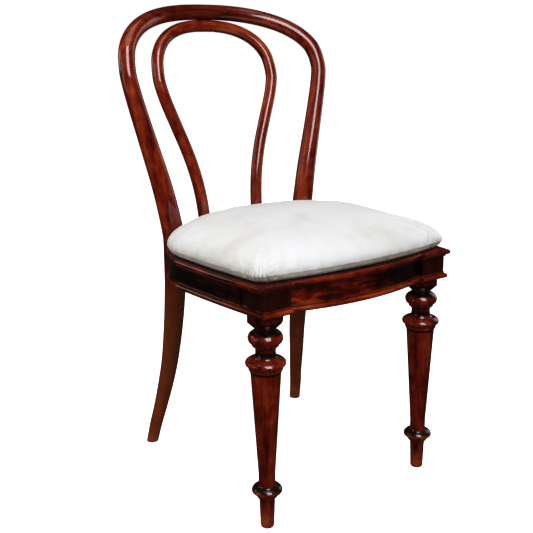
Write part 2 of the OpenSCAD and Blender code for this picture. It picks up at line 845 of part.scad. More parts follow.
// Room in the corner block's lower edges for the bead strips
module block_bead_room() {
    translate([0, front_y - over, frame_z - over]) cube([seat_w, bead_in + over, bead_h + over]);
    translate([side_c[0], side_c[1], frame_z - over]) difference() {
        cylinder(r = side_r + over, h = bead_h + over, $fn = long_fn);
        translate([0, 0, -over]) cylinder(r = side_r - bead_in, h = frame_h, $fn = long_fn);
    }
}

module corner_block() {
    difference() {
        intersection() {
            translate([block_in, front_y, frame_z]) cube([head_w + over, head_w, frieze_top - frame_z]);
            translate([side_c[0], side_c[1], 0]) cylinder(r = side_r, h = seat_h, $fn = long_fn);
        }
        block_bead_room();
        front_tenons(tenon_gap);
        side_tenon(tenon_gap);
    }
}

// Front leg in one piece: the turned leg, its octagonal head and the corner block of the frame
module front_leg() {
    in_place() {
        corner_block();
        translate([leg_x, leg_back, 0]) {
            rotate_extrude() polygon(turned_outline);
            intersection() {
                rotate_extrude() polygon(head_outline);
                rotate(180 / 8) cylinder(d = head_w / cos(180 / 8), h = seat_h, $fn = 8);
            }
        }
    }
}

module front_leg_left() {
    color(mahogany) mirror([1, 0, 0]) front_leg();
}

module front_leg_right() {
    color(mahogany) front_leg();
}

// Block glued behind the joint of side and back rail: the post's bolt draws it tight
module glue_block() {
    block_h = frieze_top - bead_top;
    in_place() difference() {
        intersection() {
            translate([back_c[0], back_c[1], bead_top])
                cylinder(r = back_r - rail_t, h = block_h, $fn = long_fn);
            translate([back_c[0], back_c[1], bead_top]) rotate(post_a)
                translate([glue_face, -glue_w / 2, 0]) cube([glue_t + rail_t, glue_w, block_h]);
        }
        arc_run(corner_c, corner_r, side_a1, corner_a1) rail_section();
        bolt_axis(post_a, post_flat)
            translate([0, 0, -post_d - rail_t]) cylinder(d = bolt_d, h = 2 * post_d);
    }
}

module glue_block_left() {
    color(dark_mahogany) mirror([1, 0, 0]) glue_block();
}

module glue_block_right() {
    color(dark_mahogany) glue_block();
}

// Domed bolts through post, rail and glue block
module post_bolts() {
    dome_r = (pow(bolt_head_d / 2, 2) + bolt_head_h * bolt_head_h) / (2 * bolt_head_h);
    bolt_tip = nut_face - nut_t - bolt_end;
    color(steel) in_place() both_sides() bolt_axis(post_a, post_flat) {
        translate([0, 0, bolt_tip]) cylinder(d = bolt_d, h = bolt_seat - bolt_tip);
        translate([0, 0, bolt_seat]) intersection() {
            cylinder(d = bolt_head_d, h = bolt_head_h);
            translate([0, 0, bolt_head_h - dome_r]) sphere(dome_r);
        }
    }
}

module post_washers() {
    color(steel) in_place() both_sides() bolt_axis(post_a, post_flat) difference() {
        translate([0, 0, nut_face]) cylinder(d = washer_d, h = washer_t);
        translate([0, 0, nut_face - over]) cylinder(d = bolt_d, h = washer_t + 2 * over);
    }
}

module post_nuts() {
    color(steel) in_place() both_sides() bolt_axis(post_a, post_flat) difference() {
        translate([0, 0, nut_face - nut_t]) cylinder(d = nut_w / cos(180 / 6), h = nut_t, $fn = 6);
        translate([0, 0, nut_face - nut_t - over]) cylinder(d = bolt_d, h = nut_t + 2 * over);
    }
}

module foot_screws() {
    color(steel) in_place() both_sides() bolt_axis(foot_a, foot_flat) screw(foot_reach, foot_screw_l);
}

module crown_screws() {
    color(steel) in_place() both_sides() crown_screw_place() screw(0, crown_screw_l);
}

// Holes of the cane panel: a square pattern kept inside the ledge
hole_edge = lip_w + cane_hole_w / 2;
hole_count = ceil(seat_w / 2 / cane_pitch);
hole_y = (block_back + back_c[1] + back_r) / 2;
function in_seat(p) = let (q = [abs(p[0]), p[1]], from_corner = q - corner_c,
        turn = atan2(from_corner[1], from_corner[0]))
    q[1] > block_back + hole_edge - lip_w && norm(q - side_c) < side_r - hole_edge
    && norm(q - back_c) < back_r - hole_edge
    && (turn < side_a1 || turn > corner_a1 || norm(from_corner) < corner_r - hole_edge);
hole_places = [for (i = [-hole_count:hole_count], j = [-hole_count:hole_count])
    let (p = [i * cane_pitch, hole_y + j * cane_pitch]) if (in_seat(p)) p];

module cane_panel() {
    color(cane) in_place() translate([0, 0, pocket_z]) linear_extrude(cane_t) difference() {
        polygon(seat_outline(pocket_in, block_back - ledge_w));
        for (p = hole_places) translate(p)
            rotate(180 / 8) circle(d = cane_hole_w / cos(180 / 8), $fn = 8);
    }
}

module cane_spline() {
    color(cane) in_place() translate([0, 0, pocket_z + cane_t]) linear_extrude(spline_t) difference() {
        polygon(seat_outline(pocket_in, block_back - ledge_w));
        polygon(seat_outline(pocket_in + spline_w, block_back - ledge_w + spline_w));
    }
}

// Centre of a circle of radius r that lies inside two others and touches both, right of the way
// from the first centre to the second
function touching(c0, r0, c1, r1, r) = let (
        d = norm(c1 - c0), u = (c1 - c0) / d,
        a = (pow(r0 - r, 2) - pow(r1 - r, 2) + d * d) / (2 * d),
        h = sqrt(pow(r0 - r, 2) - a * a))
    c0 + a * u + h * [u[1], -u[0]];
function bearing_of(p, c) = atan2(p[1] - c[1], p[0] - c[0]);

// Outline of the cushion's widest ring: its own bow in front, swollen sides, clear of the posts behind
cushion_bow_c = [0, bow_end_y - bow_rise - cushion_front + cushion_bow_r];
cushion_side_r = side_r + cushion_swell;
// Its back edge is the circle that passes both posts at the clearance
cushion_back_y = back_c[1] + back_r - cushion_back;
cushion_reach = cushion_back_y + post_r + cushion_clear;
cushion_back_c = [0, (cushion_reach * cushion_reach - post_x * post_x - post_y * post_y)
    / (2 * (cushion_reach - post_y))];
cushion_back_r = cushion_back_y - cushion_back_c[1];
cushion_front_c = touching(side_c, cushion_side_r, cushion_bow_c, cushion_bow_r, cushion_corner_r);
cushion_rear_c = touching(cushion_back_c, cushion_back_r, side_c, cushion_side_r, cushion_rear_r);
cushion_a0 = bearing_of(cushion_front_c, cushion_bow_c);
cushion_a1 = bearing_of(cushion_front_c, side_c);
cushion_a2 = bearing_of(cushion_rear_c, side_c);
cushion_a3 = bearing_of(cushion_rear_c, cushion_back_c);
cushion_right = concat(
    arc_points(cushion_bow_c, cushion_bow_r, -90, cushion_a0, long_steps),
    arc_on(cushion_front_c, cushion_corner_r, cushion_a0, cushion_a1, curve_steps),
    arc_on(side_c, cushion_side_r, cushion_a1, cushion_a2, long_steps),
    arc_on(cushion_rear_c, cushion_rear_r, cushion_a2, cushion_a3, round_steps),
    arc_on(cushion_back_c, cushion_back_r, cushion_a3, 90, curve_steps));
cushion_outline = let (n = len(cushion_right))
    concat(cushion_right, [for (i = [n - 2:-1:1]) [-cushion_right[i][0], cushion_right[i][1]]]);
cushion_mid = [0, widest_back - head_w / 2];
// Rings of the cushion from its underside to its crown: shares of the height and of the outline
cushion_shares = [[0, 0.925], [0.03, 0.955], [0.09, 0.98], [0.18, 0.996], [0.28, 1], [0.40, 0.985],
    [0.52, 0.955], [0.64, 0.905], [0.75, 0.83], [0.85, 0.72], [0.925, 0.57], [0.97, 0.39], [0.993, 0.19]];

module cushion() {
    n = len(cushion_outline);
    rows = len(cushion_shares);
    z0 = seat_h + cushion_gap;
    points = concat(
        [for (s = cushion_shares, p = cushion_outline)
            let (q = cushion_mid + s[1] * (p - cushion_mid)) [q[0], q[1], z0 + cushion_h * s[0]]],
        [[cushion_mid[0], cushion_mid[1], z0], [cushion_mid[0], cushion_mid[1], z0 + cushion_h]]);
    walls = [for (i = [0:rows - 2], k = [0:n - 1], half = [0, 1])
        let (k2 = (k + 1) % n, a = i * n, b = a + n)
        half == 0 ? [a + k, b + k2, a + k2] : [a + k, b + k, b + k2]];
    caps = [for (k = [0:n - 1], top = [0, 1]) let (k2 = (k + 1) % n, a = (rows - 1) * n)
        top == 0 ? [rows * n, k, k2] : [rows * n + 1, a + k2, a + k]];
    color(linen) in_place() polyhedron(points, concat(walls, caps), convexity = 4);
}

outer_hoop();
inner_hoop();
front_rail();
side_rail_left();
side_rail_right();
back_rail();
front_lip();
block_lip_left();
block_lip_right();
side_lip_left();
side_lip_right();
corner_lip_left();
corner_lip_right();
back_lip();
front_bead();
block_bead_left();
block_bead_right();
side_bead_left();
side_bead_right();
corner_bead_left();
corner_bead_right();
back_bead();
front_leg_left();
front_leg_right();
glue_block_left();
glue_block_right();
post_bolts();
post_washers();
post_nuts();
foot_screws();
crown_screws();
cane_panel();
cane_spline();
cushion();
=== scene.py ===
import math

import bmesh
import bpy
import numpy as np
from mathutils import Matrix, Vector, noise
from mathutils.bvhtree import BVHTree


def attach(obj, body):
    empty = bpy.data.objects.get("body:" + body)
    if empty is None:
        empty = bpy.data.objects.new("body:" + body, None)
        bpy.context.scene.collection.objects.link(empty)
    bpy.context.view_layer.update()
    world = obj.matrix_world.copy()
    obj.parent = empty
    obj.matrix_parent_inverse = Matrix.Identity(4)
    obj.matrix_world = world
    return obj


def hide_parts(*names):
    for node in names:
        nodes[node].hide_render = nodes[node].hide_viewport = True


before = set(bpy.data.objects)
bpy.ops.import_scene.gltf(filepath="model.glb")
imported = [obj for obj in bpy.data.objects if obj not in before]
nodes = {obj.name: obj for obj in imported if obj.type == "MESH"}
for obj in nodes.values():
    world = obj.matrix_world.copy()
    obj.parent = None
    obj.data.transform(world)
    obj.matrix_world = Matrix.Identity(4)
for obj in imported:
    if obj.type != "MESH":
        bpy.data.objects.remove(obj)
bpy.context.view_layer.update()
scene = bpy.context.scene
MM = 0.001


def add_object(name, data):
    made = bpy.data.objects.new(name, data)
    scene.collection.objects.link(made)
    return made


def ring_faces(count, sides):
    """Four-sided faces between rings of points, each ring joined to the next."""
    return [(i * sides + k, i * sides + (k + 1) % sides,
             (i + 1) * sides + (k + 1) % sides, (i + 1) * sides + k)
            for i in range(count - 1) for k in range(sides)]


# Camera: fitted on the photograph

CAMERA_PLACE = (-0.9445, -1.3083, 0.8253)
CAMERA_YAW = 35.19
CAMERA_PITCH = 11.99
CAMERA_ROLL = -0.62
CAMERA_LENS = 57.5116
CAMERA_SHIFT_Y = -0.0883024
SENSOR = 36


def camera_matrix():
    yaw, pitch, roll = (math.radians(a) for a in (CAMERA_YAW, CAMERA_PITCH, CAMERA_ROLL))
    level = Vector((math.sin(yaw), math.cos(yaw), 0))
    right = Vector((math.cos(yaw), -math.sin(yaw), 0))
    ahead = level * math.cos(pitch) - Vector((0, 0, math.sin(pitch)))
    up = right.cross(ahead)
    right_rolled = right * math.cos(roll) + up * math.sin(roll)
    up_rolled = up * math.cos(roll) - right * math.sin(roll)
    turn = Matrix((right_rolled, up_rolled, -ahead)).transposed()
    return Matrix.Translation(CAMERA_PLACE) @ turn.to_4x4()


def make_camera():
    data = bpy.data.cameras.new("camera")
    data.lens = CAMERA_LENS
    data.sensor_width = SENSOR
    data.shift_y = CAMERA_SHIFT_Y
    data.clip_start = 0.01
    data.clip_end = 60
    camera = add_object("camera", data)
    camera.matrix_world = camera_matrix()
    scene.camera = camera


make_camera()
scene.view_settings.view_transform = "Standard"
scene.view_settings.gamma = 0.8


# Node helpers

OCCLUSION_SAMPLES = 6


class Graph:
    """A node tree with short calls for the nodes that the materials use."""

    def __init__(self, tree):
        self.tree = tree
        self.tree.nodes.clear()

    def node(self, kind, inputs=None, **settings):
        made = self.tree.nodes.new(kind)
        for name, value in settings.items():
            setattr(made, name, value)
        for name, value in (inputs or {}).items():
            self.put(made.inputs[name], value)
        return made

    def put(self, socket, value):
        if isinstance(value, bpy.types.NodeSocket):
            self.tree.links.new(value, socket)
        else:
            socket.default_value = value

    def math(self, operation, a, b=0.0):
        return self.node("ShaderNodeMath", {0: a, 1: b}, operation=operation).outputs[0]

    def length(self, a, b):
        squares = self.math("ADD", self.math("MULTIPLY", a, a), self.math("MULTIPLY", b, b))
        return self.math("SQRT", squares)

    def smooth(self, value, low, high, to_low=0.0, to_high=1.0):
        made = self.node("ShaderNodeMapRange", interpolation_type="SMOOTHSTEP")
        for k, v in enumerate((value, low, high, to_low, to_high)):
            self.put(made.inputs[k], v)
        return made.outputs[0]

    def noise(self, vector, size, detail, roughness, distortion=0.0):
        return self.node("ShaderNodeTexNoise", {
            "Vector": vector, "Scale": 1 / size, "Detail": detail,
            "Roughness": roughness, "Distortion": distortion}).outputs["Fac"]

    def occlusion(self, reach, **settings):
        return self.node("ShaderNodeAmbientOcclusion", {"Distance": reach},
                         samples=OCCLUSION_SAMPLES, **settings).outputs["AO"]

    def scaled(self, vector, scale):
        return self.node("ShaderNodeMapping", {"Vector": vector, "Scale": scale}).outputs[0]

    def ramp(self, value, stops):
        made = self.node("ShaderNodeValToRGB", {0: value})
        line = made.color_ramp.elements
        while len(line) < len(stops):
            line.new(0.5)
        for element, (at, colour) in zip(line, stops):
            element.position = at
            element.color = (*colour, 1)
        return made.outputs[0]

    def mix(self, share, a, b):
        made = self.node("ShaderNodeMix", data_type="RGBA", clamp_factor=True)
        for k, v in ((0, share), (6, a), (7, b)):
            self.put(made.inputs[k], (*v, 1) if isinstance(v, tuple) else v)
        return made.outputs[2]

    def bump(self, height, strength, distance, normal=None):
        inputs = {"Height": height, "Strength": strength, "Distance": distance}
        if normal is not None:
            inputs["Normal"] = normal
        return self.node("ShaderNodeBump", inputs).outputs[0]

    def place(self):
        return self.node("ShaderNodeTexCoord").outputs["Object"]

    def parts(self, vector):
        return self.node("ShaderNodeSeparateXYZ", {0: vector}).outputs

    def vector(self, x, y, z):
        return self.node("ShaderNodeCombineXYZ", {0: x, 1: y, 2: z}).outputs[0]

    def finish(self, inputs):
        """Shader and output. A value that holds for the whole surface is set on the shader's own socket."""
        shader = self.node("ShaderNodeBsdfPrincipled", inputs)
        output = self.node("ShaderNodeOutputMaterial")
        self.tree.links.new(shader.outputs[0], output.inputs[0])


def new_material(name):
    material = bpy.data.materials.new(name)
    material.use_nodes = True
    return material, Graph(material.node_tree)


# Grains: each gives a vector whose first part runs along the grain, squeezed so that the wood streaks

GRAIN_SQUEEZE = 0.13
SIDE_SHIFT = 0.7
LEAN_LENGTH = 0.33


def along_axis(axis):
    """Grain along X, Y or Z."""
    def vector(g):
        x, y, z = g.parts(g.place())
        order = {"X": (x, y, z), "Y": (y, x, z), "Z": (z, x, y)}[axis]
        return g.vector(g.math("MULTIPLY", order[0], GRAIN_SQUEEZE), order[1], order[2])
    return vector


def around(centre_x, centre_y, radius):
    """Grain round a curve in plan, shifted so that left and right don't mirror each other."""
    def vector(g):
        x, y, z = g.parts(g.place())
        dx = g.math("SUBTRACT", g.math("ABSOLUTE", x), centre_x)
        dy = g.math("SUBTRACT", y, centre_y)
        turn = g.math("ARCTAN2", dy, dx)
        side = g.math("MULTIPLY", g.math("SIGN", x), SIDE_SHIFT)
        run = g.math("ADD", g.math("MULTIPLY", turn, radius * GRAIN_SQUEEZE), side)
        return g.vector(run, g.length(dx, dy), z)
    return vector


def along_hoop(shoulder_z, half_width, crown_rise, lean):
    """Grain along a bent hoop: round its crown, and down its sides, which lean inwards."""
    def vector(g):
        x, y, z = g.parts(g.place())
        rise = g.math("SUBTRACT", z, shoulder_z)
        above = g.math("MULTIPLY", g.math("MAXIMUM", rise, 0.0), half_width / crown_rise)
        below = g.math("MAXIMUM", g.math("MULTIPLY", rise, -1.0), 0.0)
        turn = g.math("MULTIPLY", g.math("ARCTAN2", x, above), half_width)
        run = g.math("ADD", turn, g.math("MULTIPLY", g.math("SIGN", x), below))
        inwards = g.math("MULTIPLY", g.math("MINIMUM", below, LEAN_LENGTH), lean)
        across = g.math("ADD", g.length(x, above), inwards)
        return g.vector(g.math("MULTIPLY", run, GRAIN_SQUEEZE), across, y)
    return vector


# Wood

BLACK_BROWN = (0.0045, 0.0012, 0.0006)
DEEP_RED = (0.050, 0.0030, 0.0010)
WARM_RED = (0.125, 0.0085, 0.0015)
RED_BROWN = (0.200, 0.0270, 0.0050)
ORANGE = (0.400, 0.0900, 0.0180)
SCUFFED = (0.30, 0.075, 0.020)
LEG_BROWN = (0.165, 0.050, 0.015)
WOOD_STOPS = [(0.26, BLACK_BROWN), (0.40, DEEP_RED), (0.50, WARM_RED), (0.60, RED_BROWN), (0.80, ORANGE)]

CLOUD_SIZE, CLOUD_SHARE = 0.020, 0.45
STREAK_SIZE, STREAK_SHARE = 0.0045, 0.30
BLOTCH_SIZE, BLOTCH_SHARE = 0.022, 0.25
PORE_SIZE, PORE_SHARE = 0.0012, 0.45
GROOVE_REACH, EDGE_REACH = 10 * MM, 4 * MM
RUB_SIZE = 0.012
SHEEN_SIZE, GROOVE_DULLNESS = 0.022, 0.2
RIPPLE_SIZE, RIPPLE_STRENGTH, RIPPLE_DEPTH = 0.028, 0.16, 1.0 * MM
RELIEF_SIZE, RELIEF_STRENGTH, RELIEF_DEPTH = 0.0020, 0.025, 0.25 * MM
POLISH = {"IOR": 1.48, "Specular IOR Level": 0.2,
          "Coat Weight": 0.9, "Coat Roughness": 0.09, "Coat IOR": 1.62}


def polished_wood(name, grain, wear, tone=0.0, contrast=1.0, dirt_and_shade=0.8, tint=None, own_grooves=False,
                  groove_shade_range=(0.30, 0.92)):
    """Old polished mahogany: clouded dark to orange red, with fine pores, grooves darkened by old polish and
    painted shade, and worn edges.
    """
    material, g = new_material(name)
    place = g.place()
    vector = grain(g)
    # Clouds of colour, long along the grain, with finer streaks and soft blotches in them
    clouds = g.noise(vector, CLOUD_SIZE, 2.0, 0.5, 0.5)
    streaks = g.noise(vector, STREAK_SIZE, 3.0, 0.55, 0.2)
    blotches = g.noise(place, BLOTCH_SIZE, 3.0, 0.5, 0.3)
    parts = ((clouds, CLOUD_SHARE), (streaks, STREAK_SHARE), (blotches, BLOTCH_SHARE))
    mixed = [g.math("MULTIPLY", g.math("SUBTRACT", value, 0.5), share * contrast) for value, share in parts]
    level = g.math("ADD", g.math("ADD", mixed[0], mixed[1]), g.math("ADD", mixed[2], 0.5 + tone))
    colour = g.ramp(level, WOOD_STOPS)
    # Pores: short dark dashes along the grain
    pores = g.smooth(g.noise(vector, PORE_SIZE, 2.0, 0.6), 0.58, 0.74)
    colour = g.mix(g.math("MULTIPLY", pores, PORE_SHARE), colour, BLACK_BROWN)
    # Painted shade and darkened old polish in the grooves, darkest where other surfaces close in; polish
    # rubbed through to orange on the edges
    groove_shade = g.smooth(g.occlusion(GROOVE_REACH, only_local=own_grooves), *groove_shade_range, 1.0, 0.0)
    colour = g.mix(g.math("MULTIPLY", groove_shade, dirt_and_shade), colour, BLACK_BROWN)
    edge = g.smooth(g.occlusion(EDGE_REACH, inside=True), 0.50, 0.92, 1.0, 0.0)
    rubbed = g.smooth(g.noise(place, RUB_SIZE, 3.0, 0.6), 0.36, 0.60)
    worn = g.math("MULTIPLY", g.math("MULTIPLY", edge, rubbed), wear)
    colour = g.mix(worn, colour, ORANGE)
    if tint is not None:
        colour = tint(g, colour)
    roughness = g.smooth(g.noise(place, SHEEN_SIZE, 4.0, 0.6), 0.3, 0.7, 0.22, 0.38)
    roughness = g.math("ADD", roughness, g.math("MULTIPLY", groove_shade, GROOVE_DULLNESS))
    ripple = g.bump(g.noise(place, RIPPLE_SIZE, 2.0, 0.5), RIPPLE_STRENGTH, RIPPLE_DEPTH)
    relief = g.bump(g.noise(vector, RELIEF_SIZE, 2.0, 0.5), RELIEF_STRENGTH, RELIEF_DEPTH, ripple)
    g.finish({"Base Color": colour, "Roughness": roughness, "Normal": relief, **POLISH})
    return material


# Tints: what sets one part of a piece off from the rest of it

FRAME_Z = 386.5 * MM
# Where along X the front rail's painted shade begins and where it is full
RAIL_SHADE_FROM, RAIL_SHADE_TO = -0.02, 0.08
SCUFF_LOW, SCUFF_TOP = 8 * MM, 46 * MM
# The head of a front leg under the frame, darkened by painted shadow
HEAD_SHADOW_LOW, HEAD_SHADOW_TOP = FRAME_Z - 34 * MM, FRAME_Z - 14 * MM
BROWN_BELOW = FRAME_Z - 60 * MM
CROWN_LOW, CROWN_TOP = 858 * MM, 878 * MM
# Turnings of the front legs painted nearly black, for old polish and painted shade in their hollows and under
# the bulb, each by its height and half its depth
SHADE_AND_POLISH_RINGS = ((371 * MM, 6 * MM), (356 * MM, 8 * MM), (328 * MM, 4 * MM), (317 * MM, 8 * MM),
              (285.5 * MM, 4 * MM), (76 * MM, 6 * MM))


def front_rail_shade(g, colour):
    """Painted shade: the bowed front is darkened towards its right end, as seen from the front."""
    x = g.parts(g.place())[0]
    return g.mix(g.smooth(x, RAIL_SHADE_FROM, RAIL_SHADE_TO, 0.0, 0.97), colour, BLACK_BROWN)


def worn_foot(g, colour):
    """Near the floor the polish is scuffed away to dull brown."""
    place = g.place()
    z = g.parts(place)[2]
    low = g.smooth(z, SCUFF_LOW, SCUFF_TOP, 0.75, 0.0)
    scuffs = g.smooth(g.noise(place, 0.009, 4.0, 0.7), 0.36, 0.60, 0.25, 1.0)
    return g.mix(g.math("MULTIPLY", low, scuffs), colour, SCUFFED)


def leg_tint_and_shade(g, colour):
    """A front leg's block is nearly as dark as the frieze. Its head carries the frame's painted shadow, and
    some of its turnings carry old polish and painted shade.
    """
    z = g.parts(g.place())[2]
    # Painted shade and dark polish in the hollows of the turnings
    for ring_z, reach in SHADE_AND_POLISH_RINGS:
        away = g.math("ABSOLUTE", g.math("SUBTRACT", z, ring_z))
        colour = g.mix(g.smooth(away, reach * 0.25, reach, 0.92, 0.0), colour, BLACK_BROWN)
    # Painted shadow of the frame on the leg's head
    head_shadow = g.smooth(z, HEAD_SHADOW_LOW, HEAD_SHADOW_TOP, 0.0, 0.55)
    block = g.smooth(z, FRAME_Z - 1 * MM, FRAME_Z + 1 * MM, 0.0, 0.30)
    colour = g.mix(g.math("ADD", head_shadow, block), colour, BLACK_BROWN)
    return worn_foot(g, colour)


def hoop_tint(g, colour):
    """The rear legs, below the seat, are browner than the back, and the crown is darker."""
    z = g.parts(g.place())[2]
    colour = g.mix(g.smooth(z, BROWN_BELOW, FRAME_Z, 0.60, 0.0), colour, LEG_BROWN)
    colour = g.mix(g.smooth(z, CROWN_LOW, CROWN_TOP, 0.0, 0.42), colour, BLACK_BROWN)
    return worn_foot(g, colour)


# Cane and steel

def cane_material():
    material, g = new_material("cane_weave")
    place = g.place()
    fibre = g.noise(g.scaled(place, (1, 0.12, 1)), 0.0012, 3.0, 0.6)
    patch = g.noise(place, 0.03, 3.0, 0.5)
    tone = g.math("ADD", g.math("MULTIPLY", fibre, 0.5), g.math("MULTIPLY", patch, 0.5))
    colour = g.ramp(tone, [(0.30, (0.30, 0.18, 0.07)), (0.5, (0.55, 0.38, 0.17)), (0.7, (0.72, 0.55, 0.30))])
    relief = g.bump(fibre, 0.3, 0.3 * MM)
    roughness = g.smooth(patch, 0.3, 0.7, 0.35, 0.55)
    g.finish({"Base Color": colour, "Roughness": roughness, "Normal": relief})
    return material


def steel_material():
    material, g = new_material("aged_steel")
    place = g.place()
    spots = g.noise(place, 0.003, 4.0, 0.7)
    colour = g.ramp(spots, [
        (0.35, (0.10, 0.07, 0.05)), (0.55, (0.30, 0.27, 0.24)), (0.75, (0.45, 0.43, 0.40))])
    roughness = g.smooth(spots, 0.3, 0.7, 0.6, 0.32)
    relief = g.bump(g.noise(place, 0.0008, 3.0, 0.6), 0.25, 0.2 * MM)
    g.finish({"Base Color": colour, "Roughness": roughness, "Normal": relief, "Metallic": 0.9})
    return material


# Materials of the CAD's nodes, by the node's name without its side

HOOP_LOOK = {"dirt_and_shade": 0.6, "wear": 0.3}
LIP_LOOK = {"wear": 0.12, "own_grooves": True}
BEAD_LOOK = {"wear": 0.2, "dirt_and_shade": 1.0}
ALONG_OUTER = along_hoop(shoulder_z=0.7685, half_width=0.2265, crown_rise=0.112, lean=0.21)
ALONG_INNER = along_hoop(shoulder_z=0.7545, half_width=0.136, crown_rise=0.098, lean=0.22)
ALONG_X = along_axis("X")
ALONG_Y = along_axis("Y")
AROUND_CORNER = around(centre_x=0.085, centre_y=-0.0139, radius=0.140)
AROUND_BACK = around(centre_x=0.0, centre_y=-0.1214, radius=0.277)

NODE_MATERIALS = {
    "outer_hoop": polished_wood("hoop_wood", ALONG_OUTER, tone=0.025, tint=hoop_tint, **HOOP_LOOK),
    "inner_hoop": polished_wood("inner_wood", ALONG_INNER, tone=0.035, **HOOP_LOOK),
    "front_leg": polished_wood("leg_wood", along_axis("Z"), dirt_and_shade=1.0, wear=0.5, tint=leg_tint_and_shade,
                               groove_shade_range=(0.42, 0.96)),
    "front_lip": polished_wood("front_lip_wood", ALONG_X, tone=-0.06, **LIP_LOOK),
    "side_lip": polished_wood("side_lip_wood", ALONG_Y, tone=-0.08, **LIP_LOOK),
    "corner_lip": polished_wood("corner_lip_wood", AROUND_CORNER, tone=-0.08, **LIP_LOOK),
    "back_lip": polished_wood("back_lip_wood", AROUND_BACK, tone=-0.08, **LIP_LOOK),
    "front_bead": polished_wood("front_bead_wood", ALONG_X, tone=0.05, **BEAD_LOOK),
    "side_bead": polished_wood("side_bead_wood", ALONG_Y, tone=-0.01, **BEAD_LOOK),
    "corner_bead": polished_wood("corner_bead_wood", AROUND_CORNER, tone=-0.01, **BEAD_LOOK),
    "back_bead": polished_wood("back_bead_wood", AROUND_BACK, tone=-0.01, **BEAD_LOOK),
    "front_rail": polished_wood("front_rail_wood", ALONG_X, tone=-0.03, contrast=1.7, wear=0.0,
                                tint=front_rail_shade),
    "side_rail": polished_wood("side_rail_wood", ALONG_Y, tone=-0.21, wear=0.0),
    "back_rail": polished_wood("back_rail_wood", AROUND_BACK, tone=-0.18, wear=0.0),
    "glue_block": polished_wood("block_wood", ALONG_X, tone=-0.12, wear=0.2),
}
NODE_MATERIALS["block_lip"] = NODE_MATERIALS["front_lip"]
NODE_MATERIALS["block_bead"] = NODE_MATERIALS["front_bead"]
NODE_MATERIALS.update(dict.fromkeys(("cane_panel", "cane_spline"), cane_material()))
NODE_MATERIALS.update(dict.fromkeys(
    ("post_bolts", "post_washers", "post_nuts", "foot_screws", "crown_screws"), steel_material()))

for name, obj in nodes.items():
    if name == "cushion":
        continue
    kind = name.removesuffix("_left").removesuffix("_right")
    for used in obj.material_slots:
        used.material = NODE_MATERIALS[kind]


# Hoops: the CAD's bent rods on the same lines, with round sections and finer steps. Millimetres in the rows

ORIGIN_Y = 219.928
SEAT_H, FRAME_H, OVERALL_H = 441.5, 55, 896
POST_R, CROWN_R, HEEL_R, INNER_R = 21, 15.7, 11.75, 12.1
# The back of the frieze is an arc. Posts and inner ends stand on it, set in by a share of their radius
BACK_ARC_Y, BACK_ARC_R = 98.557, 277
POST_X, FOOT_X = 157, 64
POST_SET_SHARE, FOOT_SET_SHARE = 0.67, 0.735
POST_RING = BACK_ARC_R + POST_SET_SHARE * POST_R
FOOT_RING = BACK_ARC_R + FOOT_SET_SHARE * INNER_R
POST = (POST_X, BACK_ARC_Y + math.sqrt(POST_RING ** 2 - POST_X ** 2))
FOOT = (FOOT_X, BACK_ARC_Y + math.sqrt(FOOT_RING ** 2 - FOOT_X ** 2))
HEEL_X, HEEL_BACK, HOOP_X, INNER_X = 187.8, 66.5, 226.5, 136
SHOULDER_RISE, INNER_RISE = 327, 313
# The back leans by a cubic of the height over the seat, and bows backwards towards its middle
RAKE, BACK_BOW_R = 94, 316
LEAN_FOOT, LEAN_MID, LEAN_TOP = 0.39, 1.57, 0.96
CROWN_Z = OVERALL_H - CROWN_R
INNER_CROWN_Z = CROWN_Z - CROWN_R - INNER_R
BEAD_TOP, FRIEZE_MID = 398.3, 413.4
# The crowns are superellipses with a row at each of these turns
CROWN_POWER = 2.4
CROWN_TURNS = (14, 27, 39, 50, 61, 71, 80, 86)
# Rear leg: shares of the way out to the foot, of the height, of the thickness, and of the way back
LEG_SHARES = ((1, 0, 0, 1), (0.84, 0.105, 0.1, 0.85), (0.62, 0.21, 0.2, 0.70), (0.37, 0.355, 0.42, 0.50),
              (0.17, 0.50, 0.60, 0.34), (0.05, 0.70, 0.84, 0.155), (0, 0.90, 1, 0.02))
# Outer side: shares of the height to the shoulder, of the way out, and of the thinning
SIDE_SHARES = ((0.07, 0.03, 0), (0.20, 0.14, 0.10), (0.35, 0.29, 0.28), (0.585, 0.575, 0.62),
               (0.77, 0.80, 0.84), (0.91, 0.95, 0.95), (1, 1, 1))
# Inner side: shares of the height to the shoulder and of the way out
INNER_SHARES = ((0.08, 0.01), (0.22, 0.055), (0.36, 0.155), (0.51, 0.33), (0.67, 0.58),
                (0.83, 0.84), (0.93, 0.965), (1, 1))
ROW_STEPS = 8
OUTER_SIDES, INNER_SIDES = 40, 36


def back_y(x, z):
    t = max(0, (z - SEAT_H) / (CROWN_Z - SEAT_H))
    lean = RAKE * t * (LEAN_FOOT + t * (LEAN_MID - LEAN_TOP * t))
    return POST[1] + lean + (POST[0] ** 2 - x * x) / (2 * BACK_BOW_R)


def inner_y(x, z):
    shift = FOOT[1] - back_y(FOOT[0], SEAT_H)
    return back_y(x, z) + shift * (CROWN_Z - max(z, SEAT_H)) / (CROWN_Z - SEAT_H)


def crown_rows(half_width, low, high, depth, radius):
    rows = []
    for turn in np.radians(CROWN_TURNS):
        x = half_width * math.cos(turn) ** (2 / CROWN_POWER)
        z = low + (high - low) * math.sin(turn) ** (2 / CROWN_POWER)
        rows.append((x, depth(x, z), z, radius))
    return rows


